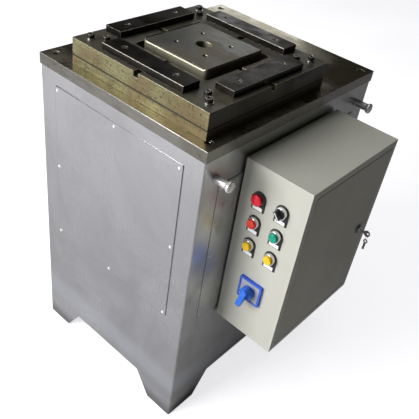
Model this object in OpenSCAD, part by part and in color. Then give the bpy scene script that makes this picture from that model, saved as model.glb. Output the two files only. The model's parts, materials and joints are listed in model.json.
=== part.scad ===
// Floor-standing die cutting press. A sheet-steel cabinet on cut-out feet carries a thick
// bed plate and a square die set. A hydraulic cylinder under the bed lifts the ram block
// in the middle of the die set, and a control box hangs on the right side.
// Millimetres, +Z up, -Y is the front. The origin is the middle of the floor anchor holes.

/* [Bed and cabinet] */
// Width of the bed plate, left to right
bed_w = 530; // [480:5:680]
// Depth of the bed plate, front to back
bed_d = 646; // [600:2:820]
// Height of the bed's working face above the floor
bed_h = 870; // [800:5:1100]
// Thickness of the bed plate
bed_t = 28; // [24:1:40]
// How far the bed plate stands out past the cabinet
bed_overhang = 2; // [1:0.5:8]
// Thickness of the cabinet sheet
sheet_t = 2; // [1.5:0.5:3]
// Outside radius of the cabinet's upright corners
corner_r = 4; // [3:0.5:5]
// Width of each foot seen from the front
foot_w = 84; // [84:1:110]
// Width of each foot seen from the side
foot_d = 96; // [96:1:130]
// Height of the arches between the feet
arch_h = 75; // [50:1:90]
// How far an arch narrows from the floor to its top
arch_slope = 50; // [20:1:70]

/* [Frame] */
// Leg width of the corner posts
post_w = 56; // [50:1:70]
// Wall of the posts and rails
post_t = 5; // [4:0.5:8]
// Height of the rails
rail_h = 40; // [30:1:44]
// Side of the foot plates under the posts
pad_w = 78; // [60:1:80]
// Thickness of the foot plates
pad_t = 8; // [6:1:12]
// Radius of the floor anchor holes
anchor_r = 7; // [5:0.5:9]
// Thickness of the plate that carries the power pack
floor_t = 4; // [3:0.5:6]

/* [Covers] */
// Width of the front access cover
front_cover_w = 418; // [300:2:440]
// Height of the front access cover
front_cover_h = 446; // [300:2:480]
// Top edge of the front cover below the bed plate
front_cover_drop = 34; // [20:1:80]
// Width of the side access cover
side_cover_w = 536; // [420:2:560]
// Height of the side access cover
side_cover_h = 408; // [300:2:440]
// Top edge of the side cover below the bed plate
side_cover_drop = 74; // [40:1:120]
// How far a cover laps over its opening
cover_lap = 16; // [12:1:24]
// Radius of the cover screws
cover_screw_r = 2; // [1.5:0.25:3]

/* [Die set] */
// Middle of the die set, right of the machine's middle
die_x = 30; // [0:1:40]
// Middle of the die set, behind the machine's middle
die_y = -91; // [-95:1:0]
// Side of the two die plates
die_w = 412; // [400:2:440]
// Thickness of the lower die plate
lower_t = 23; // [18:1:30]
// Thickness of the upper die plate
upper_t = 40; // [30:1:60]
// Side of the square opening through both die plates
opening_w = 220; // [200:2:240]
// Width of the keyways across the upper die plate
key_w = 14; // [8:1:20]
// Depth of the keyways
key_h = 12; // [6:1:16]
// Length of each blade bar
bar_l = 243; // [200:1:250]
// Width of each blade bar
bar_w = 50; // [40:1:50]
// Thickness of each blade bar
bar_t = 16; // [14:1:25]
// Inner edge of each bar from the middle of the die set
bar_in = 143; // [135:1:145]

/* [Ram and cylinder] */
// Side of the ram block
ram_w = 196; // [180:2:198]
// Thickness of the ram block
ram_t = 60; // [50:1:63]
// How far the ram block stands above the die plates at rest
ram_up = 14; // [0:1:20]
// Radius of the hole through the middle of the ram block
ram_bore_r = 18; // [10:0.5:22]
// Spacing of the tool holes in the ram block
tool_pitch = 88; // [80:1:100]
// Radius of the tool holes
tool_r = 5.1; // [4:0.1:7]
// Stroke of the ram
stroke = 60; // [30:1:80]
// Radius of the piston rod
rod_r = 30; // [20:1:34]
// Radius of the cylinder's inside
bore_r = 50; // [45:1:55]
// Wall of the cylinder barrel
barrel_wall = 12; // [8:1:14]
// Radius of the guide rods
guide_r = 11; // [8:0.5:12]
// Distance between the guide rods
guide_pitch = 156; // [154:1:158]

/* [Control box] */
// Depth of the control box, away from the cabinet
box_w = 172; // [160:1:220]
// Width of the control box along the cabinet
box_d = 356; // [320:2:420]
// Height of the control box
box_h = 482; // [460:2:560]
// Middle of the control box, behind the machine's middle
box_y = -11; // [-60:1:60]
// Top of the control box below the bed's working face
box_drop = 61; // [30:1:64]
// Gap between the cabinet and the control box
box_gap = 5; // [5:1:20]
// Width of the box rim around the door
rim_w = 18; // [16:1:32]
// Folded depth of the door
door_t = 16; // [12:1:20]
// Gap all round the door
door_gap = 2; // [1.8:0.1:3]

/* [Controls] */
// Distance between the two columns of buttons
button_col = 61; // [50:1:70]
// Distance between the rows of buttons
button_row = 65; // [60:1:70]
// Radius of the push-button caps
cap_r = 11; // [9:0.5:12]
// Radius of the mushroom head
mushroom_r = 14; // [12:0.5:14]
// How far the push buttons travel
button_travel = 4; // [2:0.5:5]
// Side of the cam switch plate
cam_plate_w = 64; // [48:1:72]

/* [Lifting pins] */
// Radius of the lifting pins
pin_r = 9.5; // [6:0.5:10]
// How far the lifting pins stand out
pin_l = 42; // [30:1:60]
// Distance from the machine's middle to a pin, front and back
pin_y = 280; // [278:1:284]

/* [Hidden] */
$fn = 48;

eps = 1;                // overshoot of a cut past the face it opens
fit = 0.05;             // radial clearance of a running or screwed fit
loose = 0.4;            // radial clearance of a screw in a plain hole

// cabinet
cab_w = bed_w - 2 * bed_overhang;
cab_d = bed_d - 2 * bed_overhang;
cab_h = bed_h - bed_t;
in_x = cab_w / 2 - sheet_t;
in_y = cab_d / 2 - sheet_t;
flange_w = 30;          // top leg of the rail angles
lower_rail_z = arch_h + 5;
floor_z = lower_rail_z + rail_h;
anchor_in = 35;         // anchor hole from the inner faces of the skins
anchor_x = in_x - anchor_in;
anchor_y = in_y - anchor_in;
bolt_in_x = 20;         // bed bolt from the inner faces of the skins
bolt_in_y = 25;
bolt_x = in_x - bolt_in_x;
bolt_y = in_y - bolt_in_y;
block_h = 30;           // tapped block in the top of each post
bolt_r = 6;
bolt_head_r = 9;
bolt_head_h = 12;
pin_head_r = 1.4 * pin_r;
pin_drop = 22;          // pin axis under the post's tapped block
pin_z = cab_h - block_h - pin_drop;

// covers
cover_inset = 9;        // screw from the cover's edge
front_cover_z = cab_h - front_cover_drop - front_cover_h / 2;
side_cover_z = cab_h - side_cover_drop - side_cover_h / 2;

// die set
die_z = bed_h + lower_t;
die_top = die_z + upper_t;
opening_r = 12;
outer_screw = 177;      // outer die screws from the middle of the die set
inner_screw = 153;      // inner die screws from the middle of the die set
die_screw_r = 5;
die_head_r = 8;
die_head_h = 10;
washer_r = 10;
washer_t = 2;
bar_screw_r = 4;
bar_head_r = 6.5;
bar_head_h = 8;
bar_screw_at = 77;      // bar screws from the middle of the bar
thread_l = 18;          // length of a screw in its tapped hole

// ram and cylinder
ram_z = die_top + ram_up - ram_t;
ram_corner_r = 14;
ram_chamfer = 5;
tool_depth = 30;
rod_flange_t = 14;
rod_flange_r = 54;
rod_screw_r = 5;
rod_screw_at = 42;      // rod screws from the cylinder's axis
rod_thread_l = 20;
rod_flange_z = ram_z - rod_flange_t;
bed_bore_r = 62;
guide_sink = 25;        // guide rods sunk in the ram block
bush_wall = 6;
bush_flange_r = 21;
bush_flange_t = 6;
guide_below = 45;       // guide rods below the bushes at rest
head_t = 30;
head_r = 84;
head_z = cab_h - head_t;
head_screw_r = 5;
head_screw_at = 73;
head_screw_n = 6;
piston_t = 40;
piston_gap = 1;         // piston clear of the cylinder's two ends
barrel_base_t = 34;
piston_z = head_z - piston_gap - stroke - piston_t;
barrel_z = piston_z - piston_gap - barrel_base_t;
barrel_r = bore_r + barrel_wall;
port_r = 11;
port_l = 12;
pipe_r = 6;

// hydraulic power pack
tank_w = 300;
tank_d = 240;
tank_h = 170;
tank_t = 3;
lid_t = 6;
tank_x = die_x - 80;
tank_y = in_y - 22 - tank_d / 2;
tank_z = floor_z + floor_t;
lid_z = tank_z + tank_h;
lid_top = lid_z + lid_t;
motor_r = 60;
motor_l = 165;
motor_wall = 12;
rotor_gap = 2;
motor_end = 14;
motor_axis_z = lid_top + motor_r + 6;
motor_y = tank_y + tank_d / 2 - 68;
motor_x0 = tank_x - tank_w / 2 + 6;
motor_x1 = motor_x0 + motor_l;
bell_l = 50;
bell_r = 44;
pump_w = 70;
pump_l = 60;
pump_x0 = motor_x1 + bell_l;
shaft_r = 9;
coupling_r = 22;
valve_w = 80;
valve_d = 66;
valve_h = 90;
valve_y = tank_y - tank_d / 2 + 50;
pipe_x = die_x;
lower_pipe_y = valve_y - 16;
upper_pipe_y = valve_y + 18;
lower_port_z = barrel_z + barrel_base_t / 2;
upper_port_z = head_z + head_t / 2;
pipe_bend = 24;

// control box
box_t = 2;
box_x0 = cab_w / 2 + box_gap;
box_x1 = box_x0 + box_w;
box_y0 = box_y - box_d / 2;
box_y1 = box_y + box_d / 2;
box_z1 = bed_h - box_drop;
box_z0 = box_z1 - box_h;
door_w = box_d - 2 * rim_w - 2 * door_gap;
door_h = box_h - 2 * rim_w - 2 * door_gap;
door_sheet = 1.5;
door_z0 = box_z0 + rim_w + door_gap;
door_y0 = box_y0 + rim_w + door_gap;
stop_w = 14;            // flange that the closed door rests near
stop_gap = 1;
hinge_in = 4;           // hinge axis from the door's edge and face
hinge_r = 1.5;
hinge_l = 12;
hinge_x = box_x1 - hinge_in;
hinge_y = door_y0 + hinge_in;
lock_in = 34;           // lock from the door's free edge
lock_y = door_y0 + door_w - lock_in;
lock_z = box_z1 - 245;
lock_r = 9;
lock_plug_r = 6;
lock_l = 12;
cam_gap = 0.5;          // lock cam behind the stop flange
cam_t = 3;
spacer_r = 8;
spacer_in = 20;
spacer_z0 = box_z0 + 11;
spacer_z1 = box_z1 - 22;
gland_r = 12;
gland_z = cab_h - (side_cover_drop + rail_h) / 2;
mains_x = -in_x + post_w + 40;
mains_z = floor_z + 60;

// controls, placed from the middle of the box's front wall
panel_x = box_x0 + box_w / 2 - 3.5;
panel_top = 78;         // top row of buttons below the box's top
row_z = [for (i = [0:2]) box_z1 - panel_top - i * button_row];
cam_z = box_z1 - 334;
hole_r = 11.3;          // hole in the panel for a button
barrel_out = 11;        // threaded barrel of a bezel
stem_r = 6;
legend_t = 2.5;
legend_w = 34;
legend_low = 32;        // bottom of the legend plate below the button's axis
bezel_r = 14.5;
bezel_l = 12;
stop_bezel_l = 7;       // bezel under the mushroom head
collar_r = 16.5;        // guard collar round the mushroom head
collar_l = 10;
cap_l = 8.5;
cap_front = 17.5;       // front of a cap before the panel
contact_w = 30;
contact_h = 28;
contact_l = 40;
barrel_back = 25;
cam_bore_r = 6;
cam_plate_t = 8;
cam_boss_r = 17;
cam_recess = 2;         // sunk face of the switch plate
cam_rim = 5.5;
cam_boss_l = 15;
cam_boss_z = cam_plate_t - cam_recess + 1;
cam_lever_w = 14;
cam_lever_up = 25;
cam_lever_down = 33;
cam_lever_turn = 13;    // the lever hangs this far left of straight down
selector_turn = 40;     // the selector points this far left of straight up

// ---------------------------------------------------------------- shared shapes

module rounded(w, d, r) {
    union() {
        square([w, d - 2 * r], center = true);
        square([w - 2 * r, d], center = true);
        for (x = [-1, 1], y = [-1, 1])
            translate([x * (w / 2 - r), y * (d / 2 - r)]) circle(r);
    }
}

module at_die() { translate([die_x, die_y, 0]) children(); }

module four(dx, dy) { for (x = [-dx, dx], y = [-dy, dy]) translate([x, y, 0]) children(); }

// A hole along +Z from z0 to z1 that opens past both faces.
module drill(r, z0, z1) { translate([0, 0, z0 - eps]) cylinder(r = r, h = z1 - z0 + 2 * eps); }

// A hole in a wall that faces X, at y and z.
module drill_x(r, x0, x1, y, z) {
    translate([x0 - eps, y, z]) rotate([0, 90, 0]) cylinder(r = r, h = x1 - x0 + 2 * eps);
}

// A hole in a wall that faces Y, at x and z.
module drill_y(r, y0, y1, x, z) {
    translate([x, y0 - eps, z]) rotate([-90, 0, 0]) cylinder(r = r, h = y1 - y0 + 2 * eps);
}

// Socket cap screw: the head sits on z = 0 and the shank hangs below it.
module cap_screw(r, l, head_radius, head_height) {
    difference() {
        union() {
            cylinder(r = head_radius, h = head_height);
            translate([0, 0, -l]) cylinder(r = r, h = l + eps);
        }
        translate([0, 0, head_height * 0.45]) cylinder(r = r * 0.9, h = head_height, $fn = 6);
    }
}

// Puts a piece on the front wall of the control box: its +Z points out of the wall.
module on_panel(x, z) { translate([x, box_y0, z]) rotate([90, 0, 0]) children(); }

// ---------------------------------------------------------------- frame

module corner_post() {
    difference() {
        union() {
            translate([in_x - post_w, in_y - post_t, 0]) cube([post_w, post_t, cab_h]);
            translate([in_x - post_t, in_y - post_w, 0]) cube([post_t, post_w, cab_h]);
            translate([in_x - pad_w, in_y - pad_w, 0]) cube([pad_w, pad_w, pad_t]);
            translate([in_x - post_w, in_y - post_w, cab_h - block_h])
                cube([post_w, post_w, block_h]);
        }
        translate([anchor_x, anchor_y, 0]) drill(anchor_r, 0, pad_t);
        translate([bolt_x, bolt_y, 0]) drill(bolt_r + fit, cab_h - block_h, cab_h);
        drill_x(pin_r + fit, in_x - post_t, in_x, pin_y, pin_z);
    }
}

module corner_posts() {
    color("dimgray")
        for (a = [0, 1], b = [0, 1]) mirror([a, 0, 0]) mirror([0, b, 0]) corner_post();
}

// Angle bar of length l along X, its upright leg on y = 0 and its top leg towards -Y.
module rail(l) {
    translate([-l / 2, 0, 0]) rotate([90, 0, 90]) linear_extrude(l)
        polygon([[0, 0], [0, rail_h], [-flange_w, rail_h], [-flange_w, rail_h - post_t],
                 [-post_t, rail_h - post_t], [-post_t, 0]]);
}

module frame_rails() {
    color("dimgray")
        for (z = [lower_rail_z, cab_h - rail_h]) {
            for (turn = [0, 180]) rotate([0, 0, turn])
                translate([0, in_y, z]) rail(2 * (in_x - post_w));
            for (turn = [90, 270]) rotate([0, 0, turn])
                translate([0, in_x, z]) rail(2 * (in_y - post_w));
        }
}

module floor_plate() {
    notch = post_w + loose;
    color("gray") difference() {
        translate([-in_x, -in_y, floor_z]) cube([2 * in_x, 2 * in_y, floor_t]);
        for (a = [0, 1], b = [0, 1]) mirror([a, 0, 0]) mirror([0, b, 0])
            translate([in_x - notch, in_y - notch, floor_z - eps])
                cube([notch + eps, notch + eps, floor_t + 2 * eps]);
    }
}

// ---------------------------------------------------------------- skins and covers

// Outline of an arch between two feet, as seen from the front.
module arch(half, foot) {
    polygon([[-(half - foot), -eps], [-(half - foot - arch_slope), arch_h],
             [half - foot - arch_slope, arch_h], [half - foot, -eps]]);
}

module front_arch() {
    rotate([90, 0, 0]) linear_extrude(2 * bed_d, center = true) arch(cab_w / 2, foot_w);
}

module side_arch() {
    rotate([90, 0, 90]) linear_extrude(2 * bed_w, center = true) arch(cab_d / 2, foot_d);
}

// A front or rear skin: a flat web with both upright corners bent round.
module end_skin() {
    difference() {
        linear_extrude(cab_h) difference() {
            rounded(cab_w, cab_d, corner_r);
            square([2 * in_x, 2 * in_y], center = true);
            translate([-bed_w, corner_r - cab_d / 2]) square([2 * bed_w, 2 * bed_d]);
        }
        front_arch();
    }
}

// Screw places of a cover, from its middle: n along each upright edge.
function cover_rows(h, n) = [for (i = [0:n - 1]) (i / (n - 1) - 0.5) * (h - 2 * cover_inset)];

module front_cover_places() {
    x = front_cover_w / 2 - cover_inset;
    for (z = cover_rows(front_cover_h, 3)) for (side = [-x, x]) translate([side, 0, z]) children();
    for (z = cover_rows(front_cover_h, 2)) translate([0, 0, z]) children();
}

module side_cover_places() {
    y = side_cover_w / 2 - cover_inset;
    for (z = cover_rows(side_cover_h, 5)) for (side = [-y, y]) translate([0, side, z]) children();
}

module front_screw_holes(r) {
    translate([0, -cab_d / 2, front_cover_z]) front_cover_places()
        drill_y(r, -sheet_t, sheet_t, 0, 0);
}

module side_screw_holes(r) {
    translate([cab_w / 2, 0, side_cover_z]) side_cover_places()
        drill_x(r, -sheet_t, sheet_t, 0, 0);
}

module front_skin() {
    color("silver") difference() {
        end_skin();
        translate([0, -cab_d / 2, front_cover_z]) rotate([90, 0, 0])
            linear_extrude(4 * sheet_t, center = true)
                rounded(front_cover_w - 2 * cover_lap, front_cover_h - 2 * cover_lap, 6);
        front_screw_holes(cover_screw_r + fit);
    }
}

module rear_skin() {
    color("silver") difference() {
        rotate([0, 0, 180]) end_skin();
        drill_y(gland_r + fit, in_y, cab_d / 2, mains_x, mains_z);
    }
}

module side_skin() {
    difference() {
        translate([in_x, corner_r - cab_d / 2, 0])
            cube([sheet_t, cab_d - 2 * corner_r, cab_h]);
        side_arch();
        for (y = [-pin_y, pin_y]) drill_x(pin_r + fit, in_x, cab_w / 2, y, pin_z);
    }
}

module left_skin() { color("silver") mirror([1, 0, 0]) side_skin(); }

module right_skin() {
    color("darkgray") difference() {
        side_skin();
        translate([in_x, 0, side_cover_z]) rotate([90, 0, 90])
            linear_extrude(4 * sheet_t, center = true)
                rounded(side_cover_w - 2 * cover_lap, side_cover_h - 2 * cover_lap, 6);
        side_screw_holes(cover_screw_r + fit);
        drill_x(gland_r + fit, in_x, cab_w / 2, box_y, gland_z);
    }
}

module front_cover() {
    color("silver") difference() {
        translate([0, -cab_d / 2, front_cover_z]) rotate([90, 0, 0])
            linear_extrude(sheet_t) rounded(front_cover_w, front_cover_h, 3);
        front_screw_holes(cover_screw_r + fit);
    }
}

module right_cover() {
    color("darkgray") difference() {
        translate([cab_w / 2, 0, side_cover_z]) rotate([90, 0, 90])
            linear_extrude(sheet_t) rounded(side_cover_w, side_cover_h, 3);
        side_screw_holes(cover_screw_r + fit);
    }
}

module cover_screw() {
    translate([0, 0, sheet_t]) cylinder(r1 = 2 * cover_screw_r, r2 = 1.3 * cover_screw_r, h = 2);
    translate([0, 0, -2 * sheet_t]) cylinder(r = cover_screw_r, h = 3 * sheet_t);
}

module cover_screws() {
    color("whitesmoke") {
        translate([0, -cab_d / 2, front_cover_z]) front_cover_places()
            rotate([90, 0, 0]) cover_screw();
        translate([cab_w / 2, 0, side_cover_z]) side_cover_places()
            rotate([0, 90, 0]) cover_screw();
    }
}

// ---------------------------------------------------------------- bed

module bed_plate() {
    color("#6b655c") difference() {
        translate([-bed_w / 2, -bed_d / 2, cab_h]) cube([bed_w, bed_d, bed_t]);
        four(bolt_x, bolt_y) {
            drill(bolt_r + loose, cab_h, bed_h);
            drill(bolt_head_r + loose, bed_h - bolt_head_h, bed_h);
        }
        at_die() {
            drill(bed_bore_r, cab_h, bed_h);
            four(guide_pitch / 2, guide_pitch / 2)
                drill(guide_r + bush_wall + fit, cab_h, bed_h);
            four(outer_screw, outer_screw) drill(die_screw_r + fit, bed_h - thread_l, bed_h);
            head_screw_places() translate([0, 0, cab_h - eps])
                cylinder(r = head_screw_r + fit, h = thread_l + eps);
        }
    }
}

module bed_bolts() {
    color("dimgray") four(bolt_x, bolt_y) translate([0, 0, bed_h - bolt_head_h])
        cap_screw(bolt_r, bed_t - bolt_head_h + block_h - 4, bolt_head_r, bolt_head_h - 1);
}

module lifting_pin() {
    neck = pin_l - 12;
    rotate([0, 90, 0]) rotate_extrude()
        polygon([[0, -sheet_t - post_t], [pin_r, -sheet_t - post_t], [pin_r, neck],
                 [pin_head_r, neck + 6], [pin_head_r, pin_l - 2], [pin_head_r - 2, pin_l],
                 [0, pin_l]]);
}

module lifting_pins() {
    color("gainsboro") for (side = [0, 1]) mirror([side, 0, 0])
        for (y = [-pin_y, pin_y]) translate([cab_w / 2, y, pin_z]) lifting_pin();
}

// ---------------------------------------------------------------- die set

module die_plate(z, t) {
    translate([0, 0, z]) linear_extrude(t) difference() {
        square(die_w, center = true);
        rounded(opening_w, opening_w, opening_r);
    }
}

module die_lower_plate() {
    color("#a59a72") at_die() difference() {
        die_plate(bed_h, lower_t);
        four(outer_screw, outer_screw) drill(die_screw_r + loose, bed_h, die_z);
        four(inner_screw, inner_screw) drill(die_screw_r + fit, die_z - thread_l, die_z);
    }
}

module die_upper_plate() {
    color("#a59a72") at_die() difference() {
        die_plate(die_z, upper_t);
        for (turn = [0, 90]) rotate([0, 0, turn])
            translate([-die_w / 2 - eps, -key_w / 2, die_top - key_h])
                cube([die_w + 2 * eps, key_w, key_h + eps]);
        four(outer_screw, outer_screw) drill(die_screw_r + loose, die_z, die_top);
        four(inner_screw, inner_screw) drill(die_screw_r + loose, die_z, die_top);
        bar_places() for (x = [-bar_screw_at, bar_screw_at]) translate([x, 0, die_top - thread_l])
            cylinder(r = bar_screw_r + fit, h = thread_l + eps);
    }
}

// The middle of a bar's lower face; its length lies along X.
module bar_place(turn) {
    rotate([0, 0, turn]) translate([0, -(bar_in + bar_w / 2), 0]) children();
}

module bar_places() { for (turn = [0, 90, 180, 270]) bar_place(turn) children(); }

module blade_bar(turn) {
    chamfer = 1;
    color("#2f2d2a") at_die() bar_place(turn) difference() {
        translate([0, 0, die_top]) linear_extrude(bar_t) square([bar_l, bar_w], center = true);
        for (x = [-bar_screw_at, bar_screw_at]) translate([x, 0, 0]) {
            drill(bar_screw_r + loose, die_top, die_top + bar_t);
            drill(bar_head_r + loose, die_top + bar_t - bar_head_h, die_top + bar_t);
        }
        for (y = [-bar_w / 2, bar_w / 2]) translate([0, y, die_top + bar_t]) rotate([45, 0, 0])
            cube([bar_l + 2 * eps, chamfer, chamfer], center = true);
    }
}

module front_bar() { blade_bar(0); }
module right_bar() { blade_bar(90); }
module rear_bar() { blade_bar(180); }
module left_bar() { blade_bar(270); }

module bar_screws() {
    seat = die_top + bar_t - bar_head_h;
    color("gray") at_die() bar_places() for (x = [-bar_screw_at, bar_screw_at])
        translate([x, 0, seat])
            cap_screw(bar_screw_r, seat - die_top + thread_l - 2, bar_head_r, bar_head_h - 1);
}

module die_screws() {
    color("gray") at_die() {
        four(outer_screw, outer_screw) translate([0, 0, die_top + washer_t])
            cap_screw(die_screw_r, washer_t + upper_t + lower_t + thread_l - 2,
                      die_head_r, die_head_h);
        four(inner_screw, inner_screw) translate([0, 0, die_top])
            cap_screw(die_screw_r, upper_t + thread_l - 2, die_head_r, die_head_h);
    }
}

module die_washers() {
    color("silver") at_die() four(outer_screw, outer_screw) translate([0, 0, die_top])
        difference() {
            cylinder(r = washer_r, h = washer_t);
            drill(die_screw_r + fit, 0, washer_t);
        }
}

// ---------------------------------------------------------------- ram and cylinder

module ram_block() {
    top = ram_z + ram_t;
    color("#6f6f60") at_die() difference() {
        translate([0, 0, ram_z]) linear_extrude(ram_t) rounded(ram_w, ram_w, ram_corner_r);
        for (turn = [0:90:270]) rotate([0, 0, turn]) translate([0, ram_w / 2, top])
            rotate([45, 0, 0]) cube([ram_w + 2 * eps, ram_chamfer, ram_chamfer], center = true);
        drill(ram_bore_r, ram_z, top);
        four(tool_pitch / 2, tool_pitch / 2) translate([0, 0, top - tool_depth])
            cylinder(r = tool_r, h = tool_depth + eps);
        four(guide_pitch / 2, guide_pitch / 2) translate([0, 0, ram_z - eps])
            cylinder(r = guide_r + fit, h = guide_sink + eps);
        rod_screw_places() translate([0, 0, ram_z - eps])
            cylinder(r = rod_screw_r + fit, h = rod_thread_l + eps);
    }
}

module rod_screw_places() {
    for (turn = [0:90:270]) rotate([0, 0, turn]) translate([rod_screw_at, 0, 0]) children();
}

module piston_rod() {
    color("gainsboro") at_die() difference() {
        union() {
            translate([0, 0, piston_z + piston_t])
                cylinder(r = rod_r, h = rod_flange_z - piston_z - piston_t + eps);
            translate([0, 0, rod_flange_z]) cylinder(r = rod_flange_r, h = rod_flange_t);
            translate([0, 0, piston_z + 4]) cylinder(r = rod_r / 2, h = piston_t);
        }
        rod_screw_places() drill(rod_screw_r + fit, rod_flange_z, ram_z);
    }
}

module rod_screws() {
    color("gray") at_die() rod_screw_places() translate([0, 0, rod_flange_z]) mirror([0, 0, 1])
        cap_screw(rod_screw_r, rod_flange_t + rod_thread_l - 2, 8, 9);
}

module piston() {
    groove = 4;
    color("gray") at_die() translate([0, 0, piston_z]) difference() {
        cylinder(r = bore_r - fit, h = piston_t);
        for (z = [piston_t / 3 - groove / 2, 2 * piston_t / 3 - groove / 2])
            translate([0, 0, z]) difference() {
                cylinder(r = bore_r + eps, h = groove);
                translate([0, 0, -eps]) cylinder(r = bore_r - groove, h = groove + 2 * eps);
            }
        translate([0, 0, 4]) cylinder(r = rod_r / 2 + fit, h = piston_t);
    }
}

module guide_rods() {
    low = cab_h - bush_flange_t - guide_below;
    color("gainsboro") at_die() four(guide_pitch / 2, guide_pitch / 2)
        translate([0, 0, low]) cylinder(r = guide_r, h = ram_z + guide_sink - low);
}

module guide_bushes() {
    color("darkgoldenrod") at_die() four(guide_pitch / 2, guide_pitch / 2) difference() {
        union() {
            translate([0, 0, cab_h - bush_flange_t])
                cylinder(r = guide_r + bush_wall, h = bush_flange_t + bed_t);
            translate([0, 0, cab_h - bush_flange_t])
                cylinder(r = bush_flange_r, h = bush_flange_t);
        }
        drill(guide_r + fit, cab_h - bush_flange_t, bed_h);
    }
}

module cylinder_barrel() {
    color("steelblue") at_die() difference() {
        union() {
            translate([0, 0, barrel_z]) cylinder(r = barrel_r, h = head_z - barrel_z);
            translate([0, barrel_r - 4, lower_port_z]) rotate([-90, 0, 0])
                cylinder(r = port_r, h = port_l + 4);
        }
        translate([0, 0, barrel_z + barrel_base_t]) cylinder(r = bore_r, h = head_z);
        drill_y(pipe_r - 2, bore_r, barrel_r + port_l, 0, lower_port_z);
    }
}

module head_screw_places() {
    for (i = [0:head_screw_n - 1]) rotate([0, 0, (i + 0.5) * 360 / head_screw_n])
        translate([head_screw_at, 0, 0]) children();
}

module cylinder_head() {
    color("steelblue") at_die() difference() {
        union() {
            translate([0, 0, head_z]) cylinder(r = head_r, h = head_t);
            translate([0, head_r - 4, upper_port_z]) rotate([-90, 0, 0])
                cylinder(r = port_r, h = port_l + 4);
        }
        drill(rod_r + fit, head_z, cab_h);
        head_screw_places() drill(head_screw_r + loose, head_z, cab_h);
        drill_y(pipe_r - 2, head_r - 10, head_r + port_l, 0, upper_port_z);
    }
}

module head_screws() {
    color("gray") at_die() head_screw_places() translate([0, 0, head_z]) mirror([0, 0, 1])
        cap_screw(head_screw_r, head_t + thread_l - 2, 8, 9);
}

// ---------------------------------------------------------------- power pack

module oil_tank() {
    color("steelblue") translate([tank_x, tank_y, tank_z]) difference() {
        translate([-tank_w / 2, -tank_d / 2, 0]) cube([tank_w, tank_d, tank_h]);
        translate([tank_t - tank_w / 2, tank_t - tank_d / 2, tank_t])
            cube([tank_w - 2 * tank_t, tank_d - 2 * tank_t, tank_h]);
    }
}

module tank_lid() {
    color("steelblue") translate([tank_x, tank_y, lid_z]) {
        translate([-tank_w / 2 - 4, -tank_d / 2 - 4, 0])
            cube([tank_w + 8, tank_d + 8, lid_t]);
        translate([-tank_w / 2 + 35, -tank_d / 2 + 35, 0]) {
            cylinder(r = 16, h = lid_t + 14);
            translate([0, 0, lid_t + 12]) cylinder(r = 22, h = 22);
        }
    }
}

module motor() {
    color("slategray") difference() {
        union() {
            translate([motor_x0, motor_y, motor_axis_z]) rotate([0, 90, 0])
                cylinder(r = motor_r, h = motor_l);
            for (turn = [20:20:340]) translate([motor_x0 + 16, motor_y, motor_axis_z])
                rotate([turn + 90, 0, 0]) translate([0, -1.5, motor_r - 4])
                    cube([motor_l - 32, 3, 8]);
            for (x = [motor_x0 + 30, motor_x1 - 60])
                translate([x, motor_y - 50, lid_top]) cube([30, 100, 40]);
        }
        translate([motor_x0 + motor_end, motor_y, motor_axis_z]) rotate([0, 90, 0])
            cylinder(r = motor_r - motor_wall, h = motor_l - 2 * motor_end);
        drill_x(shaft_r + fit, motor_x0 + 8, motor_x1, motor_y, motor_axis_z);
    }
}

module motor_shaft() {
    rotor_l = motor_l - 2 * motor_end - 2 * rotor_gap;
    color("silver") translate([motor_x0 + 9, motor_y, motor_axis_z]) rotate([0, 90, 0]) {
        cylinder(r = shaft_r, h = pump_x0 + 20 - motor_x0 - 9);
        translate([0, 0, motor_end + rotor_gap - 9])
            cylinder(r = motor_r - motor_wall - rotor_gap, h = rotor_l);
        translate([0, 0, motor_l - 9 + 8]) cylinder(r = coupling_r, h = bell_l - 16);
    }
}

module gear_pump() {
    color("darkslategray") difference() {
        union() {
            translate([motor_x1, motor_y, motor_axis_z]) rotate([0, 90, 0])
                cylinder(r = bell_r, h = bell_l + eps);
            translate([pump_x0, motor_y - pump_w / 2, motor_axis_z - pump_w / 2])
                cube([pump_l, pump_w, pump_w]);
        }
        translate([motor_x1 - eps, motor_y, motor_axis_z]) rotate([0, 90, 0])
            cylinder(r = bell_r - 6, h = bell_l - 6 + eps);
        drill_x(shaft_r + fit, motor_x1 + bell_l - 8, pump_x0 + 22, motor_y, motor_axis_z);
    }
}

module valve_block() {
    color("lightslategray") {
        translate([pipe_x - valve_w / 2, valve_y - valve_d / 2, lid_top])
            cube([valve_w, valve_d, valve_h]);
        translate([pipe_x - valve_w / 2 - 70, valve_y - 20, lid_top + 30])
            cube([70 + eps, 40, 44]);
    }
}

// A pipe that rises from z0 at distance y, bends, and runs towards -Y to y1.
module riser(y, z0, y1, z1) {
    translate([pipe_x, y, z0]) cylinder(r = pipe_r, h = z1 - pipe_bend - z0);
    translate([pipe_x, y - pipe_bend, z1 - pipe_bend]) rotate([90, 0, 90])
        rotate_extrude(angle = 90) translate([pipe_bend, 0]) circle(pipe_r);
    translate([pipe_x, y1, z1]) rotate([-90, 0, 0])
        cylinder(r = pipe_r, h = y - pipe_bend - y1);
}

module hydraulic_pipes() {
    feed_z = lid_top + valve_h - 30;
    feed_y = valve_y + valve_d / 2;
    color("silver") {
        riser(lower_pipe_y, lid_top + valve_h, die_y + barrel_r + port_l, lower_port_z);
        riser(upper_pipe_y, lid_top + valve_h, die_y + head_r + port_l, upper_port_z);
        translate([pump_x0 + 14, feed_y, feed_z]) rotate([-90, 0, 0])
            cylinder(r = pipe_r, h = motor_y - pump_w / 2 - feed_y);
    }
}

// ---------------------------------------------------------------- control box

module box_wall_hole(r, x, z) { drill_y(r, box_y0, box_y0 + box_t, x, z); }

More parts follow.
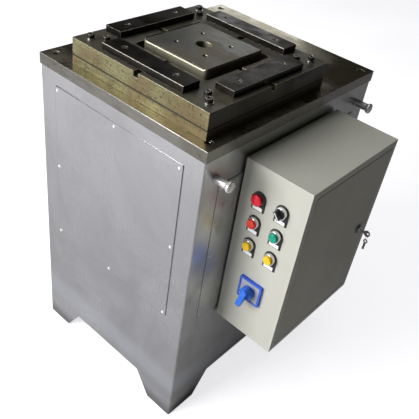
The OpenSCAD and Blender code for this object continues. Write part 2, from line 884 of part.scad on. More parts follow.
// A picture-frame ring in the plane of the door: outer size, wall and place along X.
module ring_x(w, h, wall, x0, x1) {
    translate([x0, box_y, (box_z0 + box_z1) / 2]) rotate([90, 0, 90]) linear_extrude(x1 - x0)
        difference() {
            square([w, h], center = true);
            square([w - 2 * wall, h - 2 * wall], center = true);
        }
}

module control_box() {
    slot_w = box_d - 2 * rim_w;
    slot_h = box_h - 2 * rim_w;
    stop_x = box_x1 - door_t - stop_gap;
    color("#c9c9bf") difference() {
        union() {
            translate([box_x0, box_y0, box_z0]) cube([box_t, box_d, box_h]);
            ring_x(box_d, box_h, box_t, box_x0, box_x1);
            ring_x(box_d, box_h, rim_w, box_x1 - box_t, box_x1);
            ring_x(slot_w + 2 * box_t, slot_h + 2 * box_t, box_t, stop_x - box_t, box_x1);
            ring_x(slot_w + 2 * box_t, slot_h + 2 * box_t, stop_w, stop_x - box_t, stop_x);
        }
        for (z = row_z) for (x = [-button_col / 2, button_col / 2])
            box_wall_hole(hole_r, panel_x + x, z);
        box_wall_hole(hole_r, panel_x, cam_z);
        drill_x(gland_r + fit, box_x0, box_x0 + box_t, box_y, gland_z);
        translate([hinge_x, hinge_y, 0]) drill(hinge_r + fit, door_z0 - 8, door_z0 + door_h + 8);
    }
}

module box_door() {
    color("#b9b9ae") difference() {
        translate([box_x1 - door_t, door_y0, door_z0]) cube([door_t, door_w, door_h]);
        translate([box_x1 - door_t - eps, door_y0 + door_sheet, door_z0 + door_sheet])
            cube([door_t - door_sheet + eps, door_w - 2 * door_sheet, door_h - 2 * door_sheet]);
        translate([hinge_x, hinge_y, 0]) drill(hinge_r + fit, door_z0, door_z0 + door_h);
        drill_x(lock_r - 1 + fit, box_x1 - door_sheet, box_x1, lock_y, lock_z);
    }
}

module hinge_pins() {
    color("silver") translate([hinge_x, hinge_y, 0]) for (z = [door_z0, door_z0 + door_h])
        translate([0, 0, z - hinge_l / 2]) cylinder(r = hinge_r, h = hinge_l);
}

module lock_housing() {
    color("silver") translate([box_x1, lock_y, lock_z]) rotate([0, 90, 0]) difference() {
        union() {
            cylinder(r = lock_r + 2, h = 4);
            translate([0, 0, -lock_l]) cylinder(r = lock_r - 1, h = lock_l + 2);
        }
        drill(lock_plug_r + fit, -lock_l, 4);
    }
}

module lock_plug() {
    cam_x = -door_t - stop_gap - box_t - cam_gap - cam_t;
    color("gainsboro") translate([box_x1, lock_y, lock_z]) rotate([0, 90, 0]) difference() {
        union() {
            translate([0, 0, cam_x]) cylinder(r = lock_plug_r, h = 5 - cam_x);
            translate([-lock_plug_r, -lock_plug_r, cam_x])
                cube([lock_plug_r + lock_in - 2, 2 * lock_plug_r, cam_t]);
        }
        translate([-4, -0.8, -4]) cube([8, 1.6, 10]);
    }
}

module lock_key() {
    bow_r = 9;
    color("gainsboro") translate([box_x1, lock_y, lock_z]) rotate([0, 90, 0]) {
        translate([-3.5, -0.7, -3]) cube([7, 1.4, 22]);
        translate([0, 0.7, 18 + bow_r]) rotate([90, 0, 0]) difference() {
            cylinder(r = bow_r, h = 1.4);
            translate([0, 3, -eps]) cylinder(r = 3, h = 4);
        }
    }
}

// ---------------------------------------------------------------- inside the box

gear_x = box_x0 + box_t + 8;
gear_y0 = box_y0 + 76;
gear_w = box_y1 - 24 - gear_y0;

module gear_plate() {
    color("gold") {
        translate([gear_x, gear_y0, box_z0 + 40]) cube([2, gear_w, box_h - 80]);
        for (y = [gear_y0 + 12, gear_y0 + gear_w - 12], z = [box_z0 + 52, box_z1 - 52])
            translate([box_x0 + box_t, y, z]) rotate([0, 90, 0]) cylinder(r = 5, h = 9);
    }
}

module contactors() {
    body_w = 45;
    color("dimgray") for (i = [0:2]) translate([gear_x + 2, gear_y0 + 30 + i * (body_w + 10), 0])
        difference() {
            translate([0, 0, box_z1 - 170]) cube([82, body_w, 74]);
            translate([60, -eps, box_z1 - 171]) cube([30, body_w + 2 * eps, 16]);
            translate([60, -eps, box_z1 - 111]) cube([30, body_w + 2 * eps, 16]);
        }
}

module terminal_strip() {
    n = 12;
    color("olivedrab") difference() {
        translate([gear_x + 2, gear_y0 + 20, box_z0 + 80]) cube([40, n * 14, 44]);
        for (i = [0:n - 1]) for (z = [box_z0 + 88, box_z0 + 116])
            drill_x(3, gear_x + 34, gear_x + 43, gear_y0 + 27 + i * 14, z);
    }
}

// A spacer that would meet the side cover stands on the cover instead of on the skin.
function spacer_foot(z) =
    abs(z - side_cover_z) < side_cover_h / 2 + spacer_r + loose ? cab_w / 2 + sheet_t : cab_w / 2;

module box_spacers() {
    color("silver") for (y = [box_y0 + spacer_in, box_y1 - spacer_in], z = [spacer_z0, spacer_z1])
        translate([spacer_foot(z), y, z]) rotate([0, 90, 0])
            cylinder(r = spacer_r, h = box_x0 - spacer_foot(z));
}

module cable_glands() {
    color("dimgray") {
        translate([in_x, box_y, gland_z]) rotate([0, 90, 0]) difference() {
            cylinder(r = gland_r, h = sheet_t + box_gap + box_t);
            drill(gland_r - 3, 0, sheet_t + box_gap + box_t);
        }
        translate([mains_x, in_y, mains_z]) rotate([-90, 0, 0]) difference() {
            union() {
                translate([0, 0, -10]) cylinder(r = gland_r, h = 10 + sheet_t + 16);
                translate([0, 0, sheet_t]) cylinder(r = gland_r + 3, h = 8, $fn = 6);
                translate([0, 0, -6]) cylinder(r = gland_r + 3, h = 6, $fn = 6);
            }
            drill(gland_r - 5, -10, sheet_t + 16);
        }
    }
}

// ---------------------------------------------------------------- controls

module each_button() {
    for (z = row_z) for (x = [-button_col / 2, button_col / 2]) on_panel(panel_x + x, z) children();
}

module legend_plate() {
    linear_extrude(legend_t) difference() {
        union() {
            circle(legend_w / 2);
            translate([-legend_w / 2, -legend_low]) square([legend_w, legend_low]);
        }
        circle(barrel_out + fit);
    }
}

module legend_plates() {
    color("black") {
        each_button() legend_plate();
        on_panel(panel_x - button_col / 2, row_z[0]) translate([0, 0, legend_t - 0.5])
            linear_extrude(collar_l + 0.5 - legend_t) difference() {
                circle(collar_r);
                circle(bezel_r + fit);
            }
    }
}

// A bezel with its threaded barrel, h proud of the wall.
module bezel(h) {
    difference() {
        union() {
            translate([0, 0, legend_t]) cylinder(r = bezel_r, h = h - legend_t);
            translate([0, 0, -barrel_back]) cylinder(r = barrel_out, h = barrel_back + h - 1);
        }
        translate([0, 0, 4.5]) cylinder(r = cap_r + loose, h = bezel_l);
        drill(stem_r + fit, -barrel_back, bezel_l);
    }
}

module button_bezels() {
    color("gainsboro") {
        on_panel(panel_x - button_col / 2, row_z[0]) bezel(stop_bezel_l);
        on_panel(panel_x + button_col / 2, row_z[0]) bezel(bezel_l);
        for (i = [1, 2]) for (x = [-button_col / 2, button_col / 2])
            on_panel(panel_x + x, row_z[i]) bezel(bezel_l);
    }
}

module contact_blocks() {
    color("dimgray") each_button() difference() {
        translate([-contact_w / 2, -contact_h / 2, -barrel_back - contact_l])
            cube([contact_w, contact_h, contact_l]);
        translate([0, 0, -barrel_back - 12]) cylinder(r = stem_r + 1, h = 12 + eps);
    }
}

module stem() { translate([0, 0, -barrel_back + 2]) cylinder(r = stem_r, h = barrel_back + 8); }

module push_button(x, z, paint) {
    color(paint) on_panel(x, z) {
        stem();
        translate([0, 0, cap_front - cap_l]) cylinder(r = cap_r, h = cap_l - 1);
        translate([0, 0, cap_front - 1]) cylinder(r1 = cap_r, r2 = cap_r - 1, h = 1);
    }
}

module stop_button() {
    neck = stop_bezel_l + button_travel + 1;
    color("red") on_panel(panel_x - button_col / 2, row_z[0]) {
        stem();
        translate([0, 0, 9]) cylinder(r = cap_r - 2, h = neck - 9 + eps);
        translate([0, 0, neck]) rotate_extrude()
            polygon([[0, 0], [mushroom_r, 0], [mushroom_r, 2.5], [mushroom_r - 2, 4.8],
                     [mushroom_r - 7, 6], [0, 6.3]]);
    }
}

module selector_knob() {
    color("black") on_panel(panel_x + button_col / 2, row_z[0]) {
        stem();
        translate([0, 0, 6]) cylinder(r = cap_r, h = 7);
        rotate([0, 0, selector_turn]) translate([-4, 0.5 - cap_r, 12])
            cube([8, 2 * cap_r - 1, 12]);
    }
}

module red_button() { push_button(panel_x - button_col / 2, row_z[1], "red"); }
module green_button() { push_button(panel_x + button_col / 2, row_z[1], "seagreen"); }
module left_yellow_button() { push_button(panel_x - button_col / 2, row_z[2], "gold"); }
module right_yellow_button() { push_button(panel_x + button_col / 2, row_z[2], "gold"); }

module cam_switch() {
    body_w = 50;
    color("royalblue") on_panel(panel_x, cam_z) difference() {
        union() {
            linear_extrude(cam_plate_t) rounded(cam_plate_w, cam_plate_w, 3);
            translate([0, 0, -20]) cylinder(r = hole_r - loose, h = 20 + eps);
            translate([-body_w / 2, -body_w / 2, -70]) cube([body_w, body_w, 60]);
        }
        translate([0, 0, cam_plate_t - cam_recess]) linear_extrude(cam_recess + 1)
            rounded(cam_plate_w - 2 * cam_rim, cam_plate_w - 2 * cam_rim, 1.5);
        translate([0, 0, -30]) cylinder(r = cam_bore_r + fit, h = 60);
    }
}

module cam_handle() {
    lever_z = cam_boss_z + cam_boss_l;
    color("royalblue") on_panel(panel_x, cam_z) rotate([0, 0, -cam_lever_turn]) {
        translate([0, 0, -28]) cylinder(r = cam_bore_r, h = 40);
        translate([0, 0, cam_boss_z]) cylinder(r = cam_boss_r, h = cam_boss_l);
        translate([0, 0, lever_z - eps]) linear_extrude(16 + eps) {
            translate([0, cam_lever_up - cam_lever_w / 2]) circle(cam_lever_w / 2);
            translate([-cam_lever_w / 2, -cam_lever_down])
                square([cam_lever_w, cam_lever_down + cam_lever_up - cam_lever_w / 2]);
        }
    }
}

// ---------------------------------------------------------------- nodes

corner_posts();
frame_rails();
floor_plate();
front_skin();
rear_skin();
left_skin();
right_skin();
front_cover();
right_cover();
cover_screws();
bed_plate();
bed_bolts();
lifting_pins();
die_lower_plate();
die_upper_plate();
front_bar();
rear_bar();
left_bar();
right_bar();
bar_screws();
die_screws();
die_washers();
ram_block();
piston_rod();
rod_screws();
piston();
guide_rods();
guide_bushes();
cylinder_barrel();
cylinder_head();
head_screws();
oil_tank();
tank_lid();
motor();
motor_shaft();
gear_pump();
valve_block();
hydraulic_pipes();
control_box();
box_door();
hinge_pins();
lock_housing();
lock_plug();
lock_key();
gear_plate();
contactors();
terminal_strip();
box_spacers();
cable_glands();
legend_plates();
button_bezels();
contact_blocks();
stop_button();
selector_knob();
red_button();
green_button();
left_yellow_button();
right_yellow_button();
cam_switch();
cam_handle();
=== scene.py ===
"""Looks of a floor-standing die cutting press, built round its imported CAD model.

Metres, +Z up, -Y is the machine's front. The sections follow the machine as it is put together.
"""

import json
import math

import bpy
from mathutils import Euler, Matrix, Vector

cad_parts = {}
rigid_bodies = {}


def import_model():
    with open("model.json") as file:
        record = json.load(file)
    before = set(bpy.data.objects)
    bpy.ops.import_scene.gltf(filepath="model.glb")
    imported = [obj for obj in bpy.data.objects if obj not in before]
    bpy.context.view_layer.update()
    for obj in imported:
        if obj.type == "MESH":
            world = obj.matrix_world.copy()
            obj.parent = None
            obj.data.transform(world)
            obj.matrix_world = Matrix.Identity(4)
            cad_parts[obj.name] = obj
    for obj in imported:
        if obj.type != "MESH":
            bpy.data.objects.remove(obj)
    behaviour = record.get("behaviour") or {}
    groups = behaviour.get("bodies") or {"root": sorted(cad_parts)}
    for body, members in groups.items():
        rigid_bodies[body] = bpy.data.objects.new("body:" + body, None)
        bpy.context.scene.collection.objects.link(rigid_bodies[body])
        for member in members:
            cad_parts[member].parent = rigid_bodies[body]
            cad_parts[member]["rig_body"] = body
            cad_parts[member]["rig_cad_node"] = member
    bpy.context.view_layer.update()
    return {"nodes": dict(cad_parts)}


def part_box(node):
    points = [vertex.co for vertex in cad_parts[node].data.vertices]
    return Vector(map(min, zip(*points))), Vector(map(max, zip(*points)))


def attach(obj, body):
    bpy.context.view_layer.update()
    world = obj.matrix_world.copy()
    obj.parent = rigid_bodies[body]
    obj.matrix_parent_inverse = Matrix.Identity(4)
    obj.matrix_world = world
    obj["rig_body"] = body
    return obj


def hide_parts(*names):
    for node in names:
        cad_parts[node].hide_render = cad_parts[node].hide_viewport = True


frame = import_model()
cad = frame["nodes"]

MM = 0.001

# ---------------------------------------------------------------- Camera
# Stands in front of the right-hand corner, a little above the bed, and looks down on the
# machine. It is tipped a few degrees to one side, as a hand-held camera is.
camera_place = Vector((0.8556, -1.0908, 1.4810))
camera_aim = Vector((0.1375, -0.1145, 0.5500))
camera_roll = math.radians(9.32)
focal_length = 51.62
sensor_width = 36.0

bpy.ops.object.select_all(action="DESELECT")
bpy.ops.object.camera_add(location=camera_place)
camera = bpy.context.object
camera.name = "camera"
looking = (camera_aim - camera_place).to_track_quat("-Z", "Y")
camera.rotation_euler = (looking @ Euler((0, 0, camera_roll)).to_quaternion()).to_euler()
camera.data.lens = focal_length
camera.data.sensor_width = sensor_width
bpy.context.scene.camera = camera

# ---------------------------------------------------------------- Frame
# Corner posts with foot plates, angle rails and the plate that carries the power pack: hot
# rolled steel, welded up and sprayed with dark grey machine paint before the skins go on.


def add(tree, kind, sockets=None, **settings):
    """One shader node. A socket gets either a value or a link from another node's output."""
    made = tree.nodes.new("ShaderNode" + kind)
    for key, value in settings.items():
        setattr(made, key, value)
    for key, value in (sockets or {}).items():
        if isinstance(value, bpy.types.NodeSocket):
            tree.links.new(value, made.inputs[key])
        else:
            made.inputs[key].default_value = value
    return made


def effect(name, inputs):
    """A shared effect: a node group with named inputs and one value, Mask, as its output."""
    tree = bpy.data.node_groups.new(name, "ShaderNodeTree")
    for label, kind, value in inputs:
        tree.interface.new_socket(
            label, in_out="INPUT", socket_type="NodeSocket" + kind
        ).default_value = value
    tree.interface.new_socket("Mask", in_out="OUTPUT", socket_type="NodeSocketFloat")
    return tree, tree.nodes.new("NodeGroupInput").outputs, tree.nodes.new("NodeGroupOutput")


def combine(tree, operation, first, second):
    """The sum, difference, product or quotient of two values, as operation names it."""
    return add(tree, "Math", {0: first, 1: second}, operation=operation).outputs[0]


def levels(tree, value, low, high, to_low=0.0, to_high=1.0):
    """Maps low to to_low and high to to_high, softly, and clamps outside them."""
    return add(
        tree, "MapRange",
        {"Value": value, "From Min": low, "From Max": high, "To Min": to_low, "To Max": to_high},
        interpolation_type="SMOOTHSTEP",
    ).outputs["Result"]


# Cloudy patches: Scale is patches per metre, and Low and High set how much is covered.
clouds, given, out = effect(
    "Clouds", [("Scale", "Float", 6.0), ("Low", "Float", 0.4), ("High", "Float", 0.6)]
)
noise = add(
    clouds, "TexNoise",
    {
        "Vector": add(clouds, "TexCoord").outputs["Object"],
        "Scale": given["Scale"],
        "Detail": 5.0,
        "Roughness": 0.55,
        "Distortion": 0.5,
    },
)
clouds.links.new(levels(clouds, noise.outputs["Fac"], given["Low"], given["High"]), out.inputs[0])

# Grain: streaks or specks, Stretch is how many there are per metre along X, Y and Z.
grain, given, out = effect("Grain", [("Stretch", "Vector", (300.0, 300.0, 300.0))])
place = add(
    grain, "VectorMath",
    {0: add(grain, "TexCoord").outputs["Object"], 1: given["Stretch"]},
    operation="MULTIPLY",
)
noise = add(
    grain, "TexNoise", {"Vector": place.outputs[0], "Scale": 1.0, "Detail": 4.0, "Roughness": 0.65}
)
grain.links.new(noise.outputs["Fac"], out.inputs[0])

# Edges: a mask that is 1 on edges and fades over Radius, broken up by noise. It marks worn
# edges, painted shade along cover edges and painted highlights on machined edges.
edges, given, out = effect(
    "Edge marks", [("Radius", "Float", 0.002), ("Low", "Float", 0.01), ("High", "Float", 0.2)]
)
turned = add(
    edges, "VectorMath",
    {
        0: add(edges, "Bevel", {"Radius": given["Radius"]}, samples=6).outputs["Normal"],
        1: add(edges, "NewGeometry").outputs["True Normal"],
    },
    operation="DOT_PRODUCT",
)
away = combine(edges, "SUBTRACT", 1.0, turned.outputs["Value"])
patchy = add(
    edges, "TexNoise",
    {"Vector": add(edges, "TexCoord").outputs["Object"], "Scale": 120.0, "Detail": 4.0},
)
marked_edge = combine(
    edges, "MULTIPLY",
    levels(edges, away, given["Low"], given["High"]),
    levels(edges, patchy.outputs["Fac"], 0.3, 0.55, 0.5, 1.0),
)
edges.links.new(marked_edge, out.inputs[0])

# Facing: 1 on surfaces that look along Toward, fading to 0 as they turn away from it.
facing, given, out = effect(
    "Facing", [("Toward", "Vector", (0.0, 0.0, 1.0)), ("Low", "Float", 0.6), ("High", "Float", 0.9)]
)
along = add(
    facing, "VectorMath",
    {0: add(facing, "NewGeometry").outputs["True Normal"], 1: given["Toward"]},
    operation="DOT_PRODUCT",
)
facing.links.new(levels(facing, along.outputs["Value"], given["Low"], given["High"]), out.inputs[0])

# Band: 1 at Height above the floor, fading to 0 at Reach above and below it.
band, given, out = effect("Band", [("Height", "Float", 0.0), ("Reach", "Float", 0.001)])
height = add(band, "SeparateXYZ", {0: add(band, "TexCoord").outputs["Object"]}).outputs["Z"]
apart = combine(band, "SUBTRACT", height, given["Height"])
apart = add(band, "Math", {0: apart}, operation="ABSOLUTE").outputs[0]
share = combine(band, "DIVIDE", apart, given["Reach"])
band.links.new(levels(band, share, 0.0, 1.0, 1.0, 0.0), out.inputs[0])


def mask(tree, group, **sockets):
    """Places a shared effect in a material, with its own values."""
    made = tree.nodes.new("ShaderNodeGroup")
    made.node_tree = group
    for key, value in sockets.items():
        made.inputs[key].default_value = value
    return made.outputs["Mask"]


def blend_colours(tree, factor, first, second):
    """First where factor is 0 and second where it is 1. Each is a colour or a node's output."""
    ends = {
        key: value if isinstance(value, bpy.types.NodeSocket) else (*value, 1.0)
        for key, value in (("Color1", first), ("Color2", second))
    }
    return add(tree, "MixRGB", {"Fac": factor, **ends}).outputs["Color"]


def tint(tree, base, colour, where, amount, full=1.0):
    """Lays a colour over the base. It is as strong as amount where the mask reaches full."""
    return blend_colours(tree, levels(tree, where, 0.0, full, 0.0, amount), base, colour)


def new_material(name, **fixed):
    """A material and its shader, with the values that are the same all over."""
    made = bpy.data.materials.new(name)
    made.use_nodes = True
    shader = made.node_tree.nodes["Principled BSDF"]
    for key, value in fixed.items():
        shader.inputs[key.replace("_", " ")].default_value = value
    return made, made.node_tree, shader


def bump(tree, shader, height, strength, depth):
    """Feeds a height in metres times depth to the shader's normal."""
    raised = add(tree, "Bump", {"Height": height, "Strength": strength, "Distance": depth})
    tree.links.new(raised.outputs["Normal"], shader.inputs["Normal"])


def painted(name, colour, chip, roughness, peel, dirt_and_shade, scuffs):
    """Sprayed or powder paint: fine orange peel, faint cloudy dirt and chipped edges.

    Chip is the colour under the paint, peel the dimples per metre, and dirt and scuffs are how
    strong the clouds and the worn edges are.
    """
    made, tree, shader = new_material(name, Metallic=0.0)
    cloudy = mask(tree, clouds, Scale=5.0, Low=0.35, High=0.75)
    smear = mask(tree, grain, Stretch=(9.0, 9.0, 2.5))
    fine = mask(tree, grain, Stretch=(peel, peel, peel))
    dull = tuple(0.78 * c for c in colour)
    soiled = combine(tree, "MULTIPLY", cloudy, dirt_and_shade)
    base = blend_colours(tree, soiled, colour, dull)
    base = blend_colours(tree, levels(tree, smear, 0.56, 0.78, 0.0, 0.35 * dirt_and_shade), base, chip)
    worn_edge = mask(tree, edges, Radius=0.0012, Low=0.05, High=0.35)
    worn_edge = combine(tree, "MULTIPLY", worn_edge, scuffs)
    tree.links.new(blend_colours(tree, worn_edge, base, chip), shader.inputs["Base Color"])
    rough = levels(tree, smear, 0.3, 0.7, roughness - 0.07, roughness + 0.08)
    tree.links.new(rough, shader.inputs["Roughness"])
    bump(tree, shader, fine, 0.22, 0.0004)
    return made


def dress(node_names, made):
    """Gives CAD nodes a material and leaves their meshes as they are."""
    for name in node_names:
        mesh = cad[name].data
        mesh.materials.clear()
        mesh.materials.append(made)


bare_steel = (0.30, 0.29, 0.27)
frame_paint = painted("frame paint", (0.045, 0.048, 0.05), bare_steel,
                      roughness=0.5, peel=300.0, dirt_and_shade=0.5, scuffs=0.6)
dress(["corner_posts", "frame_rails", "floor_plate"], frame_paint)

# ---------------------------------------------------------------- Cabinet skins and covers
# Two millimetre stainless sheet. The front and rear skins wrap round the corners, the side
# skins fit between them, and a screwed cover closes the big opening in the front and side.


def soften(node_name, made, width, segments=2, sharp=30.0):
    """A copy of a CAD node with every edge rounded. It stands for the node and moves with it."""
    piece = cad[node_name].copy()
    piece.data = cad[node_name].data.copy()
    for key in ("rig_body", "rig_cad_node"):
        if key in piece:
            del piece[key]
    piece.parent = None
    bpy.context.collection.objects.link(piece)
    piece.name = node_name + "_made"
    bpy.ops.object.select_all(action="DESELECT")
    piece.select_set(True)
    bpy.context.view_layer.objects.active = piece
    bpy.ops.object.mode_set(mode="EDIT")
    bpy.ops.mesh.select_all(action="SELECT")
    bpy.ops.mesh.remove_doubles(threshold=0.00001)
    bpy.ops.mesh.dissolve_limited(angle_limit=math.radians(0.5))
    bpy.ops.object.mode_set(mode="OBJECT")
    rounding = piece.modifiers.new("rounding", "BEVEL")
    rounding.width = width
    rounding.segments = segments
    rounding.limit_method = "ANGLE"
    rounding.angle_limit = math.radians(sharp)
    rounding.use_clamp_overlap = False
    rounding.miter_outer = "MITER_ARC"
    bpy.ops.object.modifier_apply(modifier="rounding")
    bpy.ops.object.shade_smooth_by_angle(angle=math.radians(sharp))
    flat = piece.modifiers.new("flat faces", "WEIGHTED_NORMAL")
    flat.keep_sharp = True
    bpy.ops.object.modifier_apply(modifier="flat faces")
    piece.data.materials.clear()
    piece.data.materials.append(made)
    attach(piece, cad[node_name]["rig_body"])
    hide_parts(node_name)
    return piece


def stainless(name, bright, dim, low, high, edge_shade=0.0):
    """Polished stainless sheet: soft wiped clouds, faint polishing lines and a dull foot.

    Low and high are the roughness of its clear and its wiped parts, and the last argument is how
    dark the painted shade is that lies along the edge of a cover.
    """
    made, tree, shader = new_material(name, Metallic=1.0)
    wiped = mask(tree, clouds, Scale=4.5, Low=0.30, High=0.72)
    fine = mask(tree, grain, Stretch=polishing_lines)
    coarse = mask(tree, grain, Stretch=tuple(0.12 * s for s in polishing_lines))
    marks = mask(tree, clouds, Scale=23.0, Low=0.60, High=0.74)
    foot = mask(tree, band, Height=0.0, Reach=0.06)
    # A pale bluish band low on the sheet is a painted reflection.
    reflection_band = mask(tree, band, Height=0.13, Reach=0.07)
    base = blend_colours(tree, wiped, bright, dim)
    base = blend_colours(tree, levels(tree, coarse, 0.35, 0.7, 0.0, 0.05), base, dim)
    base = tint(tree, base, dim, marks, 0.18)
    base = tint(tree, base, (0.62, 0.65, 0.69), reflection_band, 0.4)
    base = tint(tree, base, tuple(0.5 * c for c in dim), foot, 0.8)
    if edge_shade:
        # A dark line of painted shade along the cover's edge.
        dirt_and_shade = mask(tree, edges, Radius=0.0026, Low=0.01, High=0.12)
        dirt_and_shade = combine(tree, "MULTIPLY", dirt_and_shade, edge_shade)
        base = blend_colours(tree, dirt_and_shade, base, (0.05, 0.05, 0.05))
    tree.links.new(base, shader.inputs["Base Color"])
    rough = combine(
        tree, "ADD",
        levels(tree, wiped, 0.0, 1.0, low, high), levels(tree, fine, 0.3, 0.7, -0.02, 0.03),
    )
    tree.links.new(rough, shader.inputs["Roughness"])
    bump(tree, shader, fine, 0.04, 0.00015)
    return made


# The polishing lines run up and down on every skin.
polishing_lines = (900.0, 900.0, 9.0)
# How dark the painted shade is along the edges of the covers.
cover_edge_shade = 0.85
front_look = ((0.50, 0.50, 0.512), (0.37, 0.37, 0.380), 0.24, 0.42)
# The side skin is the front's stainless painted lighter: painted light on the side that faces away
# from the lamps.
lit_side_look = ((0.56, 0.56, 0.56), (0.38, 0.38, 0.375), 0.28, 0.46)
front_steel = stainless("stainless front", *front_look)
lit_side_steel = stainless("stainless side", *lit_side_look)
dress(["front_skin", "rear_skin", "left_skin"], front_steel)
dress(["right_skin"], lit_side_steel)
front_cover_steel = stainless("stainless front cover", *front_look, edge_shade=cover_edge_shade)
lit_side_cover_steel = stainless("stainless side cover", *lit_side_look, edge_shade=cover_edge_shade)
soften("front_cover", front_cover_steel, 0.3 * MM)
soften("right_cover", lit_side_cover_steel, 0.3 * MM)

# ---------------------------------------------------------------- Screws and turned parts
# Bright plated screws hold the covers, painted near white as a painted highlight. The lifting pins
# are turned from round bar, polished, and pushed through the corner posts, so a sling can be laid
# over them; their pale colour is partly a painted highlight.


def machined(name, light, dark, roughness, lines, relief=0.2, edge_wear_and_highlight=(0.6, 0.6, 0.6), edge_brightening=0.5,
             stain=None, stain_scale=14.0, stain_amount=0.5, top=None, right=None, front=None,
             seams=(), metal=1.0, rust=0.0):
    """Ground, milled or turned metal: tool lines, oily stains and edges rubbed bright.

    Lines is how many tool marks there are per metre along X, Y and Z, and relief their depth.
    The edge colour and the strength after it give the bright edges, which are partly worn bare
    metal and partly a painted highlight. Top, right and front are the colours of the faces that
    look that way: the right one is painted shade, and the top and front ones are old oil together
    with painted light and shade.
    Seams are the heights of joints that oil creeps out of, and metal is how much of the
    surface is bare. Rust is how strong its specks and few orange marks are.
    """
    made, tree, shader = new_material(name)
    lined = mask(tree, grain, Stretch=lines)
    patch = mask(tree, clouds, Scale=stain_scale, Low=0.38, High=0.66)
    spots = mask(tree, clouds, Scale=5.0 * stain_scale, Low=0.56, High=0.72)
    stain = stain or dark
    base = blend_colours(tree, levels(tree, lined, 0.3, 0.7), light, dark)
    base = tint(tree, base, stain, patch, stain_amount)
    base = tint(tree, base, tuple(0.4 * c for c in stain), spots, 0.9 * stain_amount)
    if rust:
        specks = mask(tree, clouds, Scale=230.0, Low=0.55, High=0.64)
        marks = mask(tree, clouds, Scale=26.0, Low=0.67, High=0.72)
        base = tint(tree, base, (0.060, 0.045, 0.022), specks, rust)
        base = tint(tree, base, (0.36, 0.13, 0.045), marks, 0.8 * rust)
    # Faces that look up, right and to the front take their own colours: the right one is painted
    # shade, and the top and front ones are old oil with painted light and shade.
    oil_and_painted_light_by_facing = ((top, (0.0, 0.0, 1.0)), (right, (1.0, 0.0, 0.0)), (front, (0.0, -1.0, 0.0)))
    for colour, toward in oil_and_painted_light_by_facing:
        if colour:
            base = tint(tree, base, colour, mask(tree, facing, Toward=toward), 0.88)
    # Bright edge colour: partly worn bare metal, partly a painted highlight.
    worn_and_highlit = mask(tree, edges, Radius=0.0022, Low=0.01, High=0.16)
    worn_and_highlit = combine(tree, "MULTIPLY", worn_and_highlit, edge_brightening)
    base = blend_colours(tree, worn_and_highlit, base, edge_wear_and_highlight)
    for height in seams:
        seam = mask(tree, band, Height=height, Reach=0.0028)
        base = tint(tree, base, (0.012, 0.011, 0.009), seam, 0.95, full=0.6)
    tree.links.new(base, shader.inputs["Base Color"])
    # The bright edges are made less metallic, so their painted highlight shows under any light.
    tree.links.new(levels(tree, worn_and_highlit, 0.0, 1.0, metal, 0.4), shader.inputs["Metallic"])
    rough = combine(
        tree, "ADD",
        levels(tree, patch, 0.0, 1.0, roughness, roughness + 0.16),
        levels(tree, lined, 0.25, 0.75, -0.06, 0.06),
    )
    tree.links.new(rough, shader.inputs["Roughness"])
    bump(tree, shader, lined, relief, 0.0002)
    return made


plated = machined("bright plate", (0.72, 0.72, 0.70), (0.55, 0.55, 0.53), roughness=0.16,
                  lines=(500.0, 500.0, 500.0), relief=0.05, edge_brightening=0.2, stain_amount=0.2)
turned_steel = machined("turned steel", (0.66, 0.65, 0.62), (0.45, 0.44, 0.42), roughness=0.18,
                        lines=(1200.0, 40.0, 40.0), relief=0.15, edge_brightening=0.4, stain_amount=0.3)
# Plated screws painted near white and made less metallic: a painted highlight.
highlit_screw_plate = machined("screw plate", (0.95, 0.95, 0.93), (0.80, 0.80, 0.78), roughness=0.22,
                       lines=(500.0, 500.0, 500.0), relief=0.05, edge_wear_and_highlight=(0.95, 0.95, 0.93),
                       edge_brightening=0.2, stain_amount=0.1, metal=0.35)
dress(["cover_screws"], highlit_screw_plate)
# Polished pins painted paler and made less metallic: a painted highlight along their shanks.
highlit_pin_steel = machined("pin steel", (0.82, 0.81, 0.79), (0.62, 0.61, 0.59), roughness=0.22,
                     lines=(1200.0, 40.0, 40.0), relief=0.15, edge_wear_and_highlight=(0.9, 0.9, 0.88),
                     edge_brightening=0.5, stain_amount=0.25, metal=0.6)
soften("lifting_pins", highlit_pin_steel, 0.8 * MM)

# ---------------------------------------------------------------- Bed plate
# Thick steel plate, ground flat on top and tinted by a film of old oil; its top is also lightened
# with painted light and its right side darkened with painted shade. Its edges are worn bright and
# carry a painted highlight, and four bolts sunk in its corners hold it to the blocks in the posts.
bed_steel = machined("bed steel", (0.30, 0.29, 0.265), (0.18, 0.175, 0.155), roughness=0.16,
                     lines=(14.0, 700.0, 700.0), relief=0.2, edge_wear_and_highlight=(0.70, 0.68, 0.62), edge_brightening=1.0,
                     stain=(0.10, 0.09, 0.07), stain_scale=6.0, stain_amount=0.5,
                     top=(0.46, 0.43, 0.33), right=(0.24, 0.235, 0.21))
black_oxide = machined("black oxide", (0.060, 0.058, 0.055), (0.03, 0.028, 0.026),
                       roughness=0.38, lines=(500.0, 500.0, 500.0), relief=0.2,
                       edge_wear_and_highlight=(0.35, 0.34, 0.32), edge_brightening=0.6)
screw_steel = machined("screw steel", (0.10, 0.097, 0.09), (0.05, 0.048, 0.044),
                       roughness=0.28, lines=(500.0, 500.0, 500.0), relief=0.1,
                       edge_wear_and_highlight=(0.72, 0.70, 0.64), edge_brightening=1.0)
soften("bed_plate", bed_steel, 1.4 * MM)
soften("bed_bolts", screw_steel, 0.9 * MM)

# ---------------------------------------------------------------- Die set
# Two ground tool-steel plates on the bed, screwed through at the corners, with four dark
# blade bars on top. Their faces are yellow with dried oil and spotted with rust.
die_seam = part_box("die_upper_plate")[0].z
